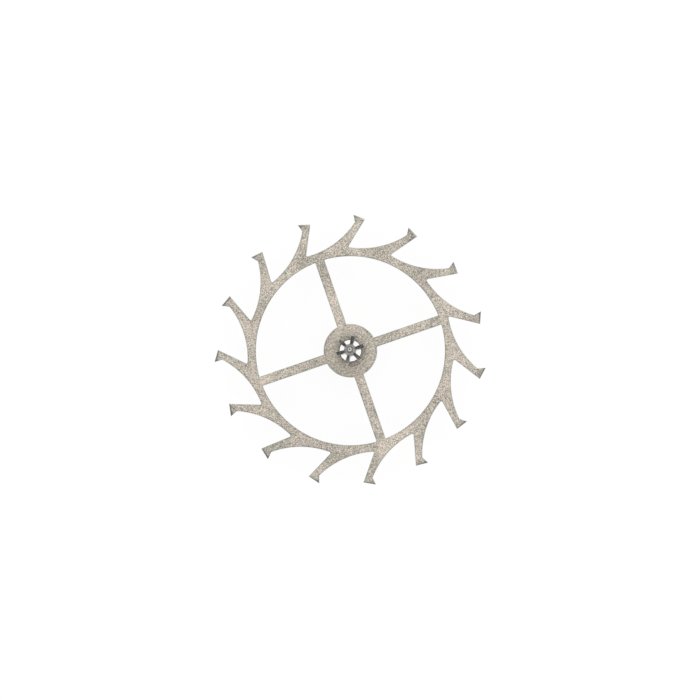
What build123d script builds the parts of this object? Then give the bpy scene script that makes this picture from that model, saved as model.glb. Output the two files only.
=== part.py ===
from build123d import *
import math
import os

# Escape wheel of a lever watch. A thin steel wheel with club teeth is pressed on a steel
# pinion, which is one piece with its arbor and its two pivots. Millimetres and degrees.
# The axis is Z and the pinion is up. The origin is on the axis, at the lower pivot's shoulder.
# The first arm lies along +X. Seen from +Z the wheel turns clockwise, so on each tooth the
# toe leads and the heel follows.

# Teeth: the toe and the heel end the sloping impulse face, and the locking face is in front
tooth_count = 15
first_toe_angle = -7.3
heel_radius = 2.6
tooth_height = 0.636
impulse_drop = 0.074
foot_angle = 5.1
locking_lean_angle = 25.3
heel_height = 0.145
heel_undercut_angle = 12.6
foot_bevel_width = 0.026
foot_bevel_depth = 0.02

# Gullets: one long round cut behind each tooth, down to the rim
gullet_radius = 1.61
gullet_corner_radius = 0.026

# Rim, arms and hub
wheel_thickness = 0.14
rim_width = 0.16
arm_count = 4
arm_width = 0.184
window_corner_radius = 0.014
hub_radius = 0.511
hole_bevel = 0.012

# Pinion leaves, turned down below their shoulder to the seat that fills the wheel's hole
leaf_count = 6
first_leaf_angle = -2.0
leaf_tip_radius = 0.289
leaf_flank_radius = 0.225
leaf_root_radius = 0.114
leaf_width = 0.082
leaf_root_width = 0.056
leaf_length = 0.85
leaf_end_bevel = 0.014
seat_radius = 0.206
seat_overhang = 0.03

# Arbor and pivots: each end of the arbor tapers to a shoulder that carries a straight pivot
arbor_step = 0.003
shoulder_radius = 0.077
upper_arbor_length = 0.33
lower_arbor_length = 0.32
pivot_radius = 0.05
pivot_length = 0.2
pivot_rounding = 0.03

# A leaf's head is one curve, whose handles reach this share of the head's height
head_handle_share = 4 / 3

tooth_pitch = 360 / tooth_count
toe_radius = heel_radius - impulse_drop
notch_radius = heel_radius - heel_height
gullet_floor_radius = heel_radius - tooth_height
gullet_centre_radius = gullet_floor_radius + gullet_radius
rim_inner_radius = gullet_floor_radius - rim_width

# Heights above the lower pivot's shoulder
seat_bottom = lower_arbor_length
wheel_bottom = seat_bottom + seat_overhang
wheel_top = wheel_bottom + wheel_thickness
leaf_top = wheel_top + leaf_length
upper_shoulder = leaf_top + upper_arbor_length
upper_end = upper_shoulder + pivot_length


def polar(radius, angle):
    """The point at this radius and angle about the axis."""
    return Vector(radius, 0).rotate(Axis.Z, angle)


def meet_circle(start, direction, centre, radius, leaving):
    """Where a straight line enters a circle, or where it leaves it."""
    offset = start - centre
    middle = -offset.dot(direction)
    half_chord = math.sqrt(middle**2 - offset.dot(offset) + radius**2)
    if leaving:
        return start + direction * (middle + half_chord)
    return start + direction * (middle - half_chord)


def toe_angle(number):
    """The angle of a tooth's toe about the axis."""
    return first_toe_angle + number * tooth_pitch


def toe_point(number):
    """The toe, where a tooth's locking face meets its impulse face."""
    return polar(toe_radius, toe_angle(number))


def heel_point(number):
    """The heel, at the far end of the impulse face."""
    return polar(heel_radius, toe_angle(number) + foot_angle)


def notch_point(number):
    """The notch under the heel, where the tooth's curved back starts."""
    inward = Vector(1, 0).rotate(Axis.Z, toe_angle(number) + foot_angle + 180)
    undercut = inward.rotate(Axis.Z, heel_undercut_angle)
    return meet_circle(heel_point(number), undercut, Vector(), notch_radius, leaving=False)


def gullet_centre(number):
    """The centre of the cut that starts in the notch and touches the gullets' floor circle."""
    cosine = (gullet_centre_radius**2 + notch_radius**2 - gullet_radius**2) / (
        2 * gullet_centre_radius * notch_radius
    )
    notch = notch_point(number)
    notch_angle = math.degrees(math.atan2(notch.Y, notch.X))
    return polar(gullet_centre_radius, notch_angle + math.degrees(math.acos(cosine)))


def gullet_corner(number):
    """Where the cut behind a tooth meets the locking face of the next one."""
    inward = Vector(1, 0).rotate(Axis.Z, toe_angle(number + 1) + 180)
    locking_face = inward.rotate(Axis.Z, -locking_lean_angle)
    start = toe_point(number + 1)
    return meet_circle(start, locking_face, gullet_centre(number), gullet_radius, leaving=True)


def tooth_outline(number):
    """A tooth's foot, the cut behind it and the next tooth's locking face."""
    centre = gullet_centre(number)
    notch = notch_point(number)
    corner = gullet_corner(number)
    halfway = centre + (notch + corner - centre * 2).normalized() * gullet_radius
    return [
        Line(toe_point(number), heel_point(number)),
        Line(heel_point(number), notch),
        ThreePointArc(notch, halfway, corner),
        Line(corner, toe_point(number + 1)),
    ]


def toothed_disc():
    """The filled outline of the teeth, with the gullets' sharp corners rounded."""
    edges = []
    for number in range(tooth_count):
        edges += tooth_outline(number)
    disc = make_face(edges)
    corners = ShapeList()
    for number in range(tooth_count):
        corners.append(disc.vertices().sort_by_distance(gullet_corner(number))[0])
    return fillet(corners, gullet_corner_radius)


def windows():
    """The openings between the rim, the arms and the hub."""
    openings = Circle(rim_inner_radius) - Circle(hub_radius)
    for number in range(arm_count):
        arm = Rectangle(gullet_floor_radius, arm_width, align=(Align.MIN, Align.CENTER))
        openings -= Rot(0, 0, number * 360 / arm_count) * arm
    return fillet(openings.vertices(), window_corner_radius)


def impulse_edges(wheel):
    """The upper edges of the impulse faces, one for each tooth."""
    edges = ShapeList()
    for number in range(tooth_count):
        middle = (toe_point(number) + heel_point(number)) / 2
        edges.append(wheel.edges().sort_by_distance(middle + Vector(0, 0, wheel_top))[0])
    return edges


def escape_wheel():
    """The wheel, cut from one sheet, with its feet bevelled on the pinion's side."""
    section = toothed_disc() - windows() - Circle(seat_radius)
    wheel = Pos(0, 0, wheel_bottom) * extrude(section, amount=wheel_thickness)
    upper_face = wheel.faces().sort_by(Axis.Z)[-1]
    wheel = chamfer(impulse_edges(wheel), foot_bevel_width, foot_bevel_depth, reference=upper_face)
    round_edges = wheel.edges().filter_by(GeomType.CIRCLE)
    hole_edge = round_edges.sort_by_distance((0, 0, wheel_top))[0]
    return chamfer(hole_edge, hole_bevel)


def leaf_outline(angle):
    """A leaf's section: flanks that widen outward, and a rounded head."""
    root = leaf_root_width / 2
    half = leaf_width / 2
    handle = leaf_flank_radius + (leaf_tip_radius - leaf_flank_radius) * head_handle_share
    flanks = Polyline(
        (leaf_flank_radius, -half),
        (leaf_root_radius, -root),
        (0, -root),
        (0, root),
        (leaf_root_radius, root),
        (leaf_flank_radius, half),
    )
    head = Bezier(
        (leaf_flank_radius, half),
        (handle, half),
        (handle, -half),
        (leaf_flank_radius, -half),
    )
    return Rot(0, 0, angle) * make_face([flanks, head])


def turned_blank():
    """The turned shape that the leaves are cut from: the seat, its shoulder and the body."""
    blank_radius = leaf_tip_radius + leaf_end_bevel
    profile = Polyline(
        (0, seat_bottom),
        (seat_radius, seat_bottom),
        (seat_radius, wheel_top),
        (blank_radius, wheel_top),
        (blank_radius, leaf_top - 2 * leaf_end_bevel),
        (leaf_tip_radius - leaf_end_bevel, leaf_top),
        (0, leaf_top),
        close=True,
    )
    return revolve(Plane.XZ * make_face(profile), Axis.Z)


def leaves():
    """The leaves, with flat-bottomed spaces between them."""
    leaf_pitch = 360 / leaf_count
    core = RegularPolygon(leaf_root_radius, leaf_count, major_radius=False)
    section = Rot(0, 0, first_leaf_angle) * core
    for number in range(leaf_count):
        section += leaf_outline(first_leaf_angle + number * leaf_pitch)
    bar = Pos(0, 0, seat_bottom) * extrude(section, amount=leaf_top - seat_bottom)
    return bar & turned_blank()


def arbor():
    """The arbor: two tapers, their shoulders and two pivots with rounded ends."""
    base_radius = leaf_root_radius - arbor_step
    profile = Polyline(
        (0, -pivot_length),
        (pivot_radius, -pivot_length),
        (pivot_radius, 0),
        (shoulder_radius, 0),
        (base_radius, seat_bottom),
        (base_radius, leaf_top),
        (shoulder_radius, upper_shoulder),
        (pivot_radius, upper_shoulder),
        (pivot_radius, upper_end),
        (0, upper_end),
        close=True,
    )
    turned = revolve(Plane.XZ * make_face(profile), Axis.Z)
    rims = turned.edges().sort_by(Axis.Z)
    return fillet([rims[0], rims[-1]], pivot_rounding)


def escape_pinion():
    """The pinion, its arbor and its pivots, which are one turned and cut piece."""
    return leaves() + arbor()


os.makedirs("parts", exist_ok=True)
export_step(escape_wheel(), "parts/escape_wheel.step")
export_step(escape_pinion(), "parts/escape_pinion.step")
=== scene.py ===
from cmath import phase, rect
from math import acos, cos, pi, radians, sin, sqrt

import bmesh
import bpy
from mathutils import Matrix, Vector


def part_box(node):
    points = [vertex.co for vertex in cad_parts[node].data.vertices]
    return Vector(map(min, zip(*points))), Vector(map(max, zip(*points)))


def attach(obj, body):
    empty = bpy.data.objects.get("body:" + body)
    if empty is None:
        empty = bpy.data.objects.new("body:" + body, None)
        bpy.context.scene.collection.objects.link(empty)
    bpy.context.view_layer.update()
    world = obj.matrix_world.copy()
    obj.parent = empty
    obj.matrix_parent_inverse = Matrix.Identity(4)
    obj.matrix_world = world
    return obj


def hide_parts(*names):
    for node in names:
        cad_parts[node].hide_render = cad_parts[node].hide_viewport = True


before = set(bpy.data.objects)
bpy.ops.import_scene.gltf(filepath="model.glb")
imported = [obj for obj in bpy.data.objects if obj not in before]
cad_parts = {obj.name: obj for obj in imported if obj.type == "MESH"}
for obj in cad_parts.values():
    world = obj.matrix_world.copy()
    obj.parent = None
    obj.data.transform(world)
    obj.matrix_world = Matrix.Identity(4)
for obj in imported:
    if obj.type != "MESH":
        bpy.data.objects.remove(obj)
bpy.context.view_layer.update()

# The escape wheel: a thin blank of hardened steel with a rim, four arms, a hub and fifteen club teeth,
# lapped to a fine grain on both faces. The lapping rolls its edges, each foot is bevelled on the
# pinion's side, and the hub's hole is pressed on the pinion. Sizes are in millimetres.
mm = 0.001
wheel_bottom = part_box("escape_wheel")[0].z / mm
wheel_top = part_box("escape_wheel")[1].z / mm

tooth_count = 15
first_toe_angle = radians(-7.3)
heel_radius = 2.6
tooth_height = 0.636
impulse_drop = 0.074
foot_angle = radians(5.1)
locking_lean_angle = radians(25.3)
heel_height = 0.145
heel_undercut_angle = radians(12.6)
foot_bevel_width = 0.026
foot_bevel_depth = 0.02
gullet_radius = 1.61
gullet_steps = 28
gullet_corner_radius = 0.026
gullet_corner_steps = 8
rim_width = 0.16
half_rim_steps = 24
arm_count = 4
arm_width = 0.184
window_corner_radius = 0.014
window_corner_steps = 5
hub_radius = 0.511
half_hub_steps = 12
seat_radius = 0.206
seat_steps = 96
hole_bevel = 0.012
rolled_edge = 0.012
rolled_steps = 4
# The rolled edges get painted shade for the dark surroundings they mirror, fading over a band inside
# each edge, strongest at the heel and weak at the toe.
shaded_edge_band = 0.02
foot_shoulder = 0.09
painted_toe_shade = 0.2
painted_heel_shade = 2.2
crease_angle = radians(25)
weld_distance = 1e-5

tooth_pitch = 2 * pi / tooth_count
toe_radius = heel_radius - impulse_drop
notch_radius = heel_radius - heel_height
gullet_floor_radius = heel_radius - tooth_height
gullet_centre_radius = gullet_floor_radius + gullet_radius
rim_inner_radius = gullet_floor_radius - rim_width


def dot(a, b):
    """The dot product of two points or directions of a plane, which are complex numbers."""
    return (a * b.conjugate()).real


def meet_circle(start, direction, centre, radius, side):
    """Where a line meets a circle: side is -1 where it enters and 1 where it leaves."""
    offset = start - centre
    middle = -dot(offset, direction)
    return start + direction * (middle + side * sqrt(middle**2 - abs(offset) ** 2 + radius**2))


def arc(centre, start, end, steps):
    """Points along the shorter arc from start to end about the centre, with both ends."""
    turn = phase((end - centre) / (start - centre))
    return [centre + (start - centre) * rect(1, turn * n / steps) for n in range(steps + 1)]


def circle(radius, steps):
    """Points on a circle about the axis, counterclockwise."""
    return [rect(radius, 2 * pi * n / steps) for n in range(steps)]


def tooth(number):
    """The outline from one toe almost to the next, counterclockwise: foot, back, locking face."""
    toe_angle = first_toe_angle + number * tooth_pitch
    toe = rect(toe_radius, toe_angle)
    heel = rect(heel_radius, toe_angle + foot_angle)
    undercut = rect(1, toe_angle + foot_angle + pi + heel_undercut_angle)
    notch = meet_circle(heel, undercut, 0, notch_radius, -1)
    reach = gullet_centre_radius**2 + notch_radius**2 - gullet_radius**2
    swing = acos(reach / (2 * gullet_centre_radius * notch_radius))
    gullet_centre = rect(gullet_centre_radius, phase(notch) + swing)
    next_toe = toe * rect(1, tooth_pitch)
    locking = rect(1, toe_angle + tooth_pitch + pi - locking_lean_angle)
    to_gullet = 1j * locking * gullet_corner_radius
    corner_reach = gullet_radius - gullet_corner_radius
    corner = meet_circle(next_toe + to_gullet, locking, gullet_centre, corner_reach, 1)
    corner_start = gullet_centre + (corner - gullet_centre) * gullet_radius / corner_reach
    points = [toe, heel, heel + undercut * foot_shoulder]
    points += arc(gullet_centre, notch, corner_start, gullet_steps)
    points += arc(corner, corner_start, corner - to_gullet, gullet_corner_steps)[1:]
    points.append(next_toe + locking * foot_shoulder)
    return points


def window(number):
    """The opening between two arms, clockwise, so that the steel lies to the left as on the teeth."""
    quarter = 2 * pi / arm_count
    beside_arm = arm_width / 2 + window_corner_radius
    rim_reach = sqrt((rim_inner_radius - window_corner_radius) ** 2 - beside_arm**2)
    hub_reach = sqrt((hub_radius + window_corner_radius) ** 2 - beside_arm**2)
    rim_corner = complex(rim_reach, beside_arm)
    hub_corner = complex(hub_reach, beside_arm)
    rim_end = rect(rim_inner_radius, phase(rim_corner))
    hub_end = rect(hub_radius, phase(hub_corner))
    to_arm = -1j * window_corner_radius
    half = arc(0, rect(hub_radius, quarter / 2), hub_end, half_hub_steps)
    half += arc(hub_corner, hub_end, hub_corner + to_arm, window_corner_steps)[1:]
    half += arc(rim_corner, rim_corner + to_arm, rim_end, window_corner_steps)
    half += arc(0, rim_end, rect(rim_inner_radius, quarter / 2), half_rim_steps)[1:]
    mirrored = [point.conjugate() * rect(1, quarter) for point in reversed(half)]
    return [point * rect(1, number * quarter) for point in reversed(half + mirrored[1:-1])]


def inset(outline, gaps):
    """The outline with each side moved to its left by its own gap. Side n starts at point n."""
    moved = []
    for n, point in enumerate(outline):
        before = point - outline[n - 1]
        after = outline[(n + 1) % len(outline)] - point
        before /= abs(before)
        after /= abs(after)
        if gaps[n - 1] == gaps[n]:
            shift = 1j * (before + after) / (1 + dot(before, after)) * gaps[n]
        else:
            slide = (gaps[n] - gaps[n - 1] * dot(before, after)) / dot(before, 1j * after)
            shift = 1j * before * gaps[n - 1] + before * slide
        moved.append(point + shift)
    return moved


def creases(outline):
    """The numbers of the points where a closed outline turns sharply."""
    sharp = []
    for n, point in enumerate(outline):
        following = outline[(n + 1) % len(outline)]
        turn = phase((following - point) / (point - outline[n - 1]))
        if abs(turn) > crease_angle:
            sharp.append(n)
    return sharp


class Skin:
    """A piece's surface, built from rings of points. An attribute on each point says how strongly its
    edge is painted: with painted shade on the wheel, with rubbed steel and painted glints on the pinion.
    """

    def __init__(self):
        self.mesh = bmesh.new()
        self.shading_and_glint_at_edges = self.mesh.verts.layers.float.new("shading_and_glint_at_edges")

    def ring(self, outline, height, shading_and_glint_at_edges=None):
        """The vertices of a closed outline at a height, with how strongly each point's edge is painted.
        """
        ring = [self.mesh.verts.new((point.real, point.imag, height)) for point in outline]
        if shading_and_glint_at_edges:
            for vertex, wear in zip(ring, shading_and_glint_at_edges):
                vertex[self.shading_and_glint_at_edges] = wear
        return ring

    def join(self, lower, upper, corners=()):
        """Faces between two rings, with creases that run up at the corners."""
        for n in range(len(lower)):
            self.mesh.faces.new((lower[n - 1], lower[n], upper[n], upper[n - 1]))
        for n in corners:
            self.mesh.edges.get((lower[n], upper[n])).smooth = False

    def edges(self, ring):
        """The edges round a ring."""
        found = []
        for n in range(len(ring)):
            ends = (ring[n - 1], ring[n])
            found.append(self.mesh.edges.get(ends) or self.mesh.edges.new(ends))
        return found

    def crease(self, ring):
        """Makes a ring a sharp edge."""
        for edge in self.edges(ring):
            edge.smooth = False

    def fill(self, rings):
        """A flat face between rings that lie in one plane."""
        edges = [edge for ring in rings for edge in self.edges(ring)]
        bmesh.ops.triangle_fill(self.mesh, use_beauty=True, use_dissolve=False, edges=edges)

    def finish(self, name, material):
        """The finished piece, in metres."""
        bmesh.ops.remove_doubles(self.mesh, verts=self.mesh.verts, dist=weld_distance)
        bmesh.ops.recalc_face_normals(self.mesh, faces=self.mesh.faces)
        for face in self.mesh.faces:
            face.smooth = True
        mesh = bpy.data.meshes.new(name)
        self.mesh.to_mesh(mesh)
        self.mesh.free()
        mesh.transform(Matrix.Scale(mm, 4))
        mesh.materials.append(material)
        piece = bpy.data.objects.new(name, mesh)
        bpy.context.scene.collection.objects.link(piece)
        return piece


def rolls(radius, steps):
    """How an edge rolls over: pairs of the depth below the face and the gap to the side's plane."""
    angles = [pi / 2 * n / steps for n in range(steps + 1)]
    return [(radius * (1 - cos(angle)), radius * (1 - sin(angle))) for angle in angles]


def wheel_side(skin, outline, shading_and_glint_at_edges, bevels, bevel_depth=rolled_edge):
    """The wall along an outline, from the lower face to the upper one, with the painted edge shade at
    each point and the width of the bevel on the side that starts there. Returns the two faces' borders."""
    corners = creases(outline)
    edge = rolls(rolled_edge, rolled_steps)
    lower_border = inset(outline, [rolled_edge + shaded_edge_band] * len(outline))
    rings = [skin.ring(lower_border, wheel_bottom)]
    for depth, gap in edge:
        rings.append(skin.ring(inset(outline, [gap] * len(outline)), wheel_bottom + depth, shading_and_glint_at_edges))
    bevel_start = len(rings)
    if bevel_depth > rolled_edge:
        rings.append(skin.ring(outline, wheel_top - bevel_depth))
    for depth, gap in reversed(edge):
        gaps = [bevel * (1 - depth / bevel_depth) if bevel else gap for bevel in bevels]
        rings.append(skin.ring(inset(outline, gaps), wheel_top - depth, shading_and_glint_at_edges))
    upper_border = inset(outline, [max(bevel, rolled_edge) + shaded_edge_band for bevel in bevels])
    rings.append(skin.ring(upper_border, wheel_top))
    for lower, upper in zip(rings, rings[1:]):
        skin.join(lower, upper, corners)
    for n in (1, bevel_start - 1, bevel_start, -2 - rolled_steps, -2):
        skin.crease(rings[n])
    return rings[0], rings[-1]


teeth = []
foot_bevels = []
tooth_edge_shading = []
for number in range(tooth_count):
    points = tooth(number)
    teeth += points
    foot_bevels += [foot_bevel_width] + [0.0] * (len(points) - 1)
    # Each tooth's edges get painted shade, strongest at the heel and weak at the toe.
    tooth_edge_shading += [painted_toe_shade, painted_heel_shade] + [1.0] * (len(points) - 2)
hole = list(reversed(circle(seat_radius, seat_steps)))

skin = Skin()
borders = [wheel_side(skin, teeth, tooth_edge_shading, foot_bevels, foot_bevel_depth)]
borders.append(wheel_side(skin, hole, [0.0] * seat_steps, [hole_bevel] * seat_steps, hole_bevel))
for number in range(arm_count):
    opening = window(number)
    borders.append(wheel_side(skin, opening, [1.0] * len(opening), [0.0] * len(opening)))
skin.fill([lower for lower, upper in borders])
skin.fill([upper for lower, upper in borders])


class Tone:
    """One output of a shader node. Sums and products of tones add the Math nodes that work them out."""

    def __init__(self, finish, socket):
        self.finish = finish
        self.socket = socket

    def __add__(self, other):
        return self.finish.maths("ADD", self, other)

    def __sub__(self, other):
        return self.finish.maths("SUBTRACT", self, other)

    def __rsub__(self, other):
        return self.finish.maths("SUBTRACT", other, self)

    def __mul__(self, other):
        return self.finish.maths("MULTIPLY", self, other)

    __radd__ = __add__
    __rmul__ = __mul__


class Finish:
    """A material or a world, whose node method adds every node."""

    def __init__(self, owner):
        owner.use_nodes = True
        self.tree = owner.node_tree
        self.tree.nodes.clear()

    def node(self, kind, settings, sockets, output=0):
        """One of a node's outputs. The settings are made first, then the sockets' values or links."""
        made = self.tree.nodes.new(kind)
        for name, value in settings.items():
            setattr(made, name, value)
        for key, value in sockets.items():
            if isinstance(value, Tone):
                self.tree.links.new(value.socket, made.inputs[key])
            else:
                made.inputs[key].default_value = value
        return Tone(self, made.outputs[output] if made.outputs else None)

    def maths(self, operation, *values):
        """A Math node."""
        return self.node("ShaderNodeMath", {"operation": operation}, dict(enumerate(values)))

    def vector(self, operation, *values, output=0):
        """A Vector Math node."""
        settings = {"operation": operation}
        return self.node("ShaderNodeVectorMath", settings, dict(enumerate(values)), output)

    def along(self, vector, direction):
        """How far a vector reaches in a direction."""
        return self.vector("DOT_PRODUCT", vector, direction, output="Value")

    def mix(self, share, first, second, blend="MIX"):
        """Two colours mixed, with the second's share. Inputs 6 and 7 and output 2 are the colours."""
        settings = {"data_type": "RGBA", "blend_type": blend}
        return self.node("ShaderNodeMix", settings, {0: share, 6: first, 7: second}, output=2)

    def between(self, value, low, high):
        """0 up to low and 1 from high on, with a smooth rise between them."""
        sockets = {"Value": value, "From Min": low, "From Max": high}
        return self.node("ShaderNodeMapRange", {"interpolation_type": "SMOOTHSTEP"}, sockets)

    def noise(self, place, scale, detail=2.0, roughness=0.5):
        """Cloudy noise about 0.5. The scale is in waves per unit of place."""
        sockets = {"Vector": place, "Scale": scale, "Detail": detail, "Roughness": roughness}
        return self.node("ShaderNodeTexNoise", {}, sockets)

    def cells(self, place, scale, smoothness):
        """Grains side by side, each of its own brightness from 0 to 1. The scale is grains per mm."""
        sockets = {"Vector": place, "Scale": scale, "Smoothness": smoothness}
        colour = self.node("ShaderNodeTexVoronoi", {"feature": "SMOOTH_F1"}, sockets, output="Color")
        return self.node("ShaderNodeSeparateColor", {}, {0: colour}, output="Red")

    def scratches(self, place, angle, length, width):
        """Thin marks that run one way: 1 on a mark and 0 beside it. Lengths are in millimetres."""
        sockets = {"Vector": place, "Angle": angle}
        turned = self.node("ShaderNodeVectorRotate", {"rotation_type": "Z_AXIS"}, sockets)
        stretched = self.vector("DIVIDE", turned, (length, width, width))
        return self.between(self.noise(stretched, scale=1.0, detail=1.0), low=0.66, high=0.72)

    def place(self):
        """The place on the piece, in millimetres."""
        metres = self.node("ShaderNodeTexCoord", {}, {}, output="Object")
        return self.vector("MULTIPLY", metres, (1 / mm, 1 / mm, 1 / mm))

    def radius(self, place):
        """The distance from the arbor's axis, in millimetres."""
        level = self.vector("MULTIPLY", place, (1.0, 1.0, 0.0))
        return self.vector("LENGTH", level, output="Value")

    def levelness(self):
        """1 on faces that look straight up or down, and 0 on upright walls."""
        normal = self.node("ShaderNodeNewGeometry", {}, {}, output="Normal")
        return self.maths("ABSOLUTE", self.along(normal, (0.0, 0.0, 1.0)))

    def shading_and_glint_at_edges(self):
        """How strongly each point of the mesh is painted at an edge: with shade on the wheel, with
        rubbed steel and glints on the pinion.
        """
        return self.node("ShaderNodeAttribute", {"attribute_name": "shading_and_glint_at_edges"}, {}, output="Fac")

    def metal(self, colour, roughness, marks, depth, strength):
        """The material's surface: bare metal, with marks of a depth in millimetres."""
        sockets = {"Strength": strength, "Distance": depth * mm, "Height": marks}
        bump = self.node("ShaderNodeBump", {}, sockets)
        sockets = {"Base Color": colour, "Metallic": 1.0, "Roughness": roughness, "Normal": bump}
        surface = self.node("ShaderNodeBsdfPrincipled", {}, sockets)
        self.node("ShaderNodeOutputMaterial", {}, {"Surface": surface})


straw_steel = (0.506, 0.477, 0.403, 1)
rosy_steel = (0.532, 0.469, 0.408, 1)
# A greener steel for the edges' painted shade.
painted_edge_colour = (0.47, 0.48, 0.44, 1)
lapped_brightness = 1.13
grains_per_mm = 80.0
grain_blur = 0.4
grain_depth = 0.002
wall_grain = 0.25
lapped_grain = 0.8
grain_tint = 0.3
ring_contrast = 0.7
# Painted light that lifts the hub where the pinion shades it.
painted_hub_light = 0.09
# Painted shade on the hub right beside the pinion.
painted_shade_by_pinion = 0.2
# Painted shade along the edges, evenly and in patches, made a little greener.
even_edge_shading = 0.4
patchy_edge_shading = 1.2
painted_edge_darkness = 0.23
painted_edge_greening = 0.6
foot_shade = 0.1
scratch_shade = 0.14
scratch_sizes = ((0.5, 0.5, 0.03), (1.6, 0.6, 0.025), (2.4, 0.4, 0.03))
wall_roughness = 0.24
lapped_roughness = 0.18
grain_roughness = 0.12


def wheel_steel():
    """Lapped steel: a warm grey grain, cloudy patches, faint scratches, turning rings on the hub and
    darker feet, with painted light and shade: darker, greener edges, a lighter hub and a darker ring
    beside the pinion.
    """
    material = bpy.data.materials.new("wheel_steel")
    finish = Finish(material)
    place = finish.place()
    radius = finish.radius(place)
    lapped = finish.between(finish.levelness(), low=0.8, high=0.95)
    on_hub = lapped * (1.0 - finish.between(radius, low=0.44, high=0.56))
    # Where the hub gets painted shade, right beside the pinion.
    shadow_round_pinion = lapped * (1.0 - finish.between(radius, low=0.22, high=0.32))
    on_foot = finish.between(radius, low=2.40, high=2.48)
    # How much painted shade each edge gets.
    edge = finish.shading_and_glint_at_edges() * (even_edge_shading + finish.noise(place, scale=7.0) * patchy_edge_shading)

    grain = finish.cells(place, grains_per_mm, grain_blur)
    patches = finish.noise(place, scale=1.6, roughness=0.6)
    rings = finish.noise(finish.node("ShaderNodeCombineXYZ", {}, {0: radius}), scale=22.0)
    scratches = sum(finish.scratches(place, *sizes) for sizes in scratch_sizes)
    brightness = lapped_brightness + (grain - 0.5) * (wall_grain + lapped * lapped_grain)
    brightness = brightness + (patches - 0.5)
    # Turning rings on the hub, and painted light lifting the whole hub.
    brightness = brightness + ((rings - 0.5) * ring_contrast + painted_hub_light) * on_hub
    # Painted shade on the hub right beside the pinion.
    brightness = brightness * (1.0 - shadow_round_pinion * painted_shade_by_pinion)
    # Painted shade along the edges; the feet are darker too.
    brightness = brightness * (1.0 - edge * painted_edge_darkness) * (1.0 - on_foot * foot_shade)
    brightness = brightness * (1.0 - lapped * scratches * scratch_shade)

    tint = finish.noise(place, scale=3.2, detail=4.0, roughness=0.6) + (grain - 0.5) * grain_tint
    warm = finish.mix(finish.between(tint, low=0.3, high=0.7), straw_steel, rosy_steel)
    # The edges' painted shade is greener.
    steel = finish.mix(edge * painted_edge_greening, warm, painted_edge_colour)
    shade = finish.node("ShaderNodeCombineColor", {}, {0: brightness, 1: brightness, 2: brightness})
    colour = finish.mix(1.0, steel, shade, blend="MULTIPLY")
    roughness = wall_roughness + lapped * lapped_roughness + (grain - 0.5) * grain_roughness
    finish.metal(colour, roughness, marks=grain, depth=grain_depth, strength=0.2)
    return material


wheel = skin.finish("escape_wheel_lapped", wheel_steel())
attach(wheel, "root")
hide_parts("escape_wheel")

# The escape pinion: one bar of hardened steel, turned to an arbor with two pivots, then cut into six
# leaves and polished. The lower ends of the leaves are turned down to a seat, which is pressed through
# the wheel's hole until their shoulders rest on the wheel.
lower_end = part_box("escape_pinion")[0].z / mm
upper_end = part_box("escape_pinion")[1].z / mm

leaf_count = 6
first_leaf_angle = radians(-2.0)
leaf_tip_radius = 0.289
leaf_flank_radius = 0.225
leaf_root_radius = 0.114
leaf_width = 0.082
leaf_root_width = 0.056
leaf_length = 0.85
leaf_end_bevel = 0.014
head_handle_share = 4 / 3
head_steps = 14
seat_overhang = 0.03
arbor_step = 0.003
shoulder_radius = 0.077
pivot_radius = 0.05
pivot_length = 0.2
pivot_rounding = 0.03
pivot_rounding_steps = 8
turned_steps = 72
broken_edge = 0.004
broken_steps = 3

leaf_pitch = 2 * pi / leaf_count
seat_bottom = wheel_bottom - seat_overhang
leaf_top = wheel_top + leaf_length
lower_shoulder = lower_end + pivot_length
upper_shoulder = upper_end - pivot_length
arbor_radius = leaf_root_radius - arbor_step


def leaf(number):
    """A leaf's section, counterclockwise from the space before it to the space after it."""
    flank = complex(leaf_flank_radius, leaf_width / 2)
    inward = complex(leaf_root_radius, leaf_root_width / 2) - flank
    space_floor = rect(1, leaf_pitch / 2)
    root = flank + inward * (leaf_root_radius - dot(flank, space_floor)) / dot(inward, space_floor)
    seat = meet_circle(flank, inward / abs(inward), 0, seat_radius, -1)
    handle = leaf_flank_radius + (leaf_tip_radius - leaf_flank_radius) * head_handle_share
    points = [root.conjugate(), seat.conjugate()]
    for n in range(head_steps + 1):
        share = n / head_steps
        along = leaf_flank_radius + (handle - leaf_flank_radius) * 3 * share * (1 - share)
        across = leaf_width / 2 * (2 * share - 1) * (1 + 2 * share * (1 - share))
        points.append(complex(along, across))
    points += [seat, root]
    return [point * rect(1, first_leaf_angle + number * leaf_pitch) for point in points]


def turned_down(outline, radius):
    """The outline with what stands out past a radius cut back to it."""
    return [point if abs(point) < radius else rect(radius, phase(point)) for point in outline]


def turned(skin, profile):
    """The surface of a turned profile, whose points are radius + height * 1j. Returns its end rings."""
    rings = [skin.ring(circle(point.real, turned_steps), point.imag) for point in profile]
    for lower, upper in zip(rings, rings[1:]):
        skin.join(lower, upper)
    for n in range(1, len(profile) - 1):
        turn = phase((profile[n + 1] - profile[n]) / (profile[n] - profile[n - 1]))
        if abs(turn) > crease_angle:
            skin.crease(rings[n])
    for ring in (rings[0], rings[-1]):
        skin.crease(ring)
    return rings[0], rings[-1]


def arbor_end(shoulder, end, base):
    """One end of the arbor, from the middle of its pivot's tip to the leaves."""
    out = 1 if end > shoulder else -1
    dome = complex(pivot_radius - pivot_rounding, end - out * pivot_rounding)
    lip = complex(shoulder_radius - broken_edge, shoulder - out * broken_edge)
    points = arc(dome, dome + out * 1j * pivot_rounding, dome + pivot_rounding, pivot_rounding_steps)
    points.append(complex(pivot_radius, shoulder))
    points += arc(lip, lip + out * 1j * broken_edge, lip + broken_edge, broken_steps)
    points.append(complex(arbor_radius, base))
    return points


star = []
for number in range(leaf_count):
    star += leaf(number)
seat = turned_down(star, seat_radius)

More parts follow.
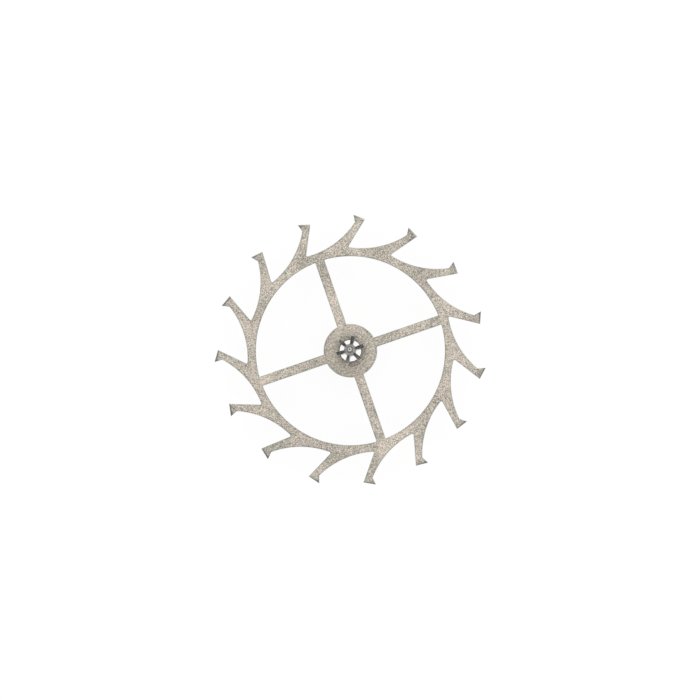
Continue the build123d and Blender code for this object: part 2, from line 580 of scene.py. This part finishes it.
skin = Skin()
lower_tip, lower_base = turned(skin, arbor_end(lower_shoulder, lower_end, seat_bottom))
upper_tip, upper_base = turned(skin, arbor_end(upper_shoulder, upper_end, leaf_top))
rings = []
for depth, gap in rolls(broken_edge, broken_steps):
    rings.append(skin.ring(inset(seat, [gap] * len(seat)), seat_bottom + depth))
rings.append(skin.ring(seat, wheel_top))
for lower, upper in zip(rings, rings[1:]):
    skin.join(lower, upper, creases(seat))
for ring in (rings[0], rings[-2], rings[-1]):
    skin.crease(ring)
seat_border = rings[0]
rings = [rings[-1], skin.ring(star, wheel_top), skin.ring(star, leaf_top - leaf_end_bevel)]
# The leaf ends' rounded rims are marked for pale rubbed steel and painted glints.
for depth, gap in reversed(rolls(broken_edge, broken_steps)):
    cut_back = turned_down(star, leaf_tip_radius - leaf_end_bevel + depth)
    rings.append(skin.ring(inset(cut_back, [gap] * len(star)), leaf_top - depth, [1.0] * len(star)))
skin.join(rings[0], rings[1])
for lower, upper in zip(rings[1:], rings[2:]):
    skin.join(lower, upper, creases(star))
for ring in (rings[1], rings[2], rings[-1 - broken_steps], rings[-1]):
    skin.crease(ring)
skin.fill([lower_tip])
skin.fill([upper_tip])
skin.fill([lower_base, seat_border])
skin.fill([upper_base, rings[-1]])

dark_polish = (0.2, 0.19, 0.175, 1)
pale_polish = (0.42, 0.405, 0.375, 1)
# A pale steel for the leaf ends' rims: rubbed steel, and painted glints.
glinting_rim_steel = (0.72, 0.7, 0.66, 1)
dark_pivot = (0.4, 0.39, 0.37, 1)
pale_pivot = (0.78, 0.76, 0.72, 1)
# A dark steel for painted shade at the pivots.
painted_shade_steel = (0.07, 0.065, 0.06, 1)
side_smudging = 0.3
end_smudging = 0.7
glinting_rim_share = 0.8
pivot_side_share = 0.4
pivot_end_share = 0.6
# How strong the painted shade is in the corner at the pivot's root and on the pivot's rounded end.
painted_corner_darkness = 0.4
painted_rounding_darkness = 0.7
polished_roughness = 0.16
smudged_roughness = 0.06
arbor_roughness = 0.18
stroke_depth = 0.001


def pinion_steel():
    """Polished steel, darker than the wheel's: turning lines, strokes along the leaves, and smudges,
    with pale rubbed rims on the leaf ends that also carry painted glints, and painted shade at the
    pivots.
    """
    material = bpy.data.materials.new("pinion_steel")
    finish = Finish(material)
    place = finish.place()
    radius = finish.radius(place)
    level = finish.levelness()
    on_end = finish.between(level, low=0.5, high=0.9)
    on_arbor = 1.0 - finish.between(radius, low=arbor_radius, high=leaf_root_radius)
    on_pivot = 1.0 - finish.between(radius, low=pivot_radius + 0.001, high=pivot_radius + 0.004)
    off_corner = finish.between(radius, low=pivot_radius + 0.008, high=pivot_radius + 0.016)
    # The corner round the pivot's root and the slope of the pivot's rounded end, which get painted
    # shade.
    in_corner = (1.0 - on_pivot) * (1.0 - off_corner)
    on_rounding = on_pivot * finish.between(level, low=0.05, high=0.25)
    on_rounding = on_rounding * (1.0 - finish.between(level, low=0.82, high=0.92))

    smudges = finish.noise(place, scale=17.0, detail=3.0, roughness=0.7)
    smudges = finish.between(smudges, low=0.35, high=0.65)
    share = 0.5 + (smudges - 0.5) * (side_smudging + on_end * end_smudging)
    # Pale rims on the leaf ends: rubbed steel, and painted glints at the leaf tips.
    rim_rub_and_glint = finish.between(finish.noise(place, scale=5.0, detail=1.0), low=0.5, high=0.62)
    rim_rub_and_glint = rim_rub_and_glint * finish.shading_and_glint_at_edges()
    colour = finish.mix(share, dark_polish, pale_polish)
    colour = finish.mix(rim_rub_and_glint * glinting_rim_share, colour, glinting_rim_steel)
    pivot = finish.mix(share, dark_pivot, pale_pivot)
    colour = finish.mix(on_pivot * (pivot_side_share + on_end * pivot_end_share), colour, pivot)
    # Painted shade in that corner and on that slope.
    colour = finish.mix(in_corner * painted_corner_darkness + on_rounding * painted_rounding_darkness, colour, painted_shade_steel)

    height = finish.vector("MULTIPLY", place, (0.0, 0.0, 1.0))
    lines = finish.noise(height, scale=60.0, detail=3.0, roughness=0.7)
    strokes = finish.noise(finish.vector("MULTIPLY", place, (1.0, 1.0, 0.04)), scale=70.0)
    marks = lines * on_arbor + strokes * (1.0 - on_arbor)
    roughness = polished_roughness + share * smudged_roughness
    roughness = roughness + on_arbor * (1.0 - on_pivot) * arbor_roughness
    finish.metal(colour, roughness, marks, depth=stroke_depth, strength=0.15)
    return material


pinion = skin.finish("escape_pinion_polished", pinion_steel())
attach(pinion, "root")
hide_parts("escape_pinion")

# The floor: a plain white table on which the lower pivot's tip rests. It glows for the camera and for
# reflections, and a small matt share keeps the object's shadow.
floor_half_width = 400.0
matt_share = 0.12
glow_strength = 1.015
white = (1, 1, 1, 1)
matt_white = (0.9, 0.9, 0.9, 1)


def seen_rays(finish):
    """1 for what the camera sees, straight, mirrored or through glass, and 0 for other light."""
    kinds = ("Is Camera Ray", "Is Glossy Ray", "Is Transmission Ray")
    return sum(finish.node("ShaderNodeLightPath", {}, {}, output=kind) for kind in kinds)


floor_mesh = bmesh.new()
bmesh.ops.create_grid(floor_mesh, x_segments=1, y_segments=1, size=floor_half_width * mm)
floor_data = bpy.data.meshes.new("floor")
floor_mesh.to_mesh(floor_data)
floor_mesh.free()
floor_data.transform(Matrix.Translation((0, 0, lower_end * mm)))
floor = bpy.data.objects.new("floor", floor_data)
bpy.context.scene.collection.objects.link(floor)

floor_paint = bpy.data.materials.new("floor_white")
finish = Finish(floor_paint)
glow = finish.node("ShaderNodeEmission", {}, {"Color": white, "Strength": glow_strength})
matt = finish.node("ShaderNodeBsdfDiffuse", {}, {"Color": matt_white})
share = seen_rays(finish) * (1 - matt_share)
surface = finish.node("ShaderNodeMixShader", {}, {0: share, 1: matt, 2: glow})
finish.node("ShaderNodeOutputMaterial", {}, {"Surface": surface})
floor_data.materials.append(floor_paint)

# The light: a white tent round the object, bright overhead and, low down, brightest behind the picture's
# top right. A small dark round straight above is a lens, which the polished ends of the leaves mirror.
# Where the tent meets the floor it looks as white as the floor, so that no horizon shows from the side.
picture_roll = radians(18.95)
lamp_bearing = picture_roll + radians(28)
lamp_height = radians(14)
lamp_core_angle = radians(20)
lamp_edge_angle = radians(62)
lens_half_angle = radians(12)
lens_edge_angle = radians(18)
tent_level = 0.35
overhead_level = 0.96
lamp_level = 0.8
lens_shade = 0.85

world = bpy.data.worlds.new("light_tent")
bpy.context.scene.world = world
finish = Finish(world)
direction = finish.node("ShaderNodeTexCoord", {}, {}, output="Generated")
towards_lamp = (
    sin(lamp_bearing) * cos(lamp_height),
    cos(lamp_bearing) * cos(lamp_height),
    sin(lamp_height),
)
lamp = finish.between(finish.along(direction, towards_lamp), cos(lamp_edge_angle), cos(lamp_core_angle))
rise = finish.along(direction, (0.0, 0.0, 1.0))
overhead = finish.between(rise, low=0.05, high=0.75)
lens = finish.between(rise, cos(lens_edge_angle), cos(lens_half_angle))
brightness = tent_level + overhead * overhead_level + lamp * lamp_level
brightness = brightness * (1.0 - lens * lens_shade)
low_edge = seen_rays(finish) * (1.0 - finish.between(rise, low=0.03, high=0.06))
brightness = brightness + (1.0 - brightness) * low_edge
background = finish.node("ShaderNodeBackground", {}, {"Color": white, "Strength": brightness})
finish.node("ShaderNodeOutputWorld", {}, {"Surface": background})

# The camera looks down the arbor from the pinion's side, rolled so that the first arm points up to the
# right by the roll angle. It stands about a degree off the axis, so the pinion leans up to the left.
picture_width = 13.353
picture_pixels = 700
sensor_width = 36.0
camera_distance = 250.0
nearest_seen = 10.0
farthest_seen = 4 * floor_half_width
camera_right_angle = radians(0.6)
camera_low_angle = radians(1.05)
centre_right = 0.4
centre_down = 0.65

camera_data = bpy.data.cameras.new("camera")
camera_data.sensor_width = sensor_width
camera_data.lens = sensor_width * camera_distance / picture_width
camera_data.clip_start = nearest_seen * mm
camera_data.clip_end = farthest_seen * mm
camera = bpy.data.objects.new("camera", camera_data)
bpy.context.scene.collection.objects.link(camera)
pixel = picture_width / picture_pixels
camera.matrix_world = (
    Matrix.Translation((0, 0, wheel_top * mm))
    @ Matrix.Rotation(-picture_roll, 4, "Z")
    @ Matrix.Rotation(camera_right_angle, 4, "Y")
    @ Matrix.Rotation(camera_low_angle, 4, "X")
    @ Matrix.Translation((-centre_right * pixel * mm, centre_down * pixel * mm, camera_distance * mm))
)
bpy.context.scene.camera = camera
bpy.context.scene.view_settings.view_transform = "Standard"
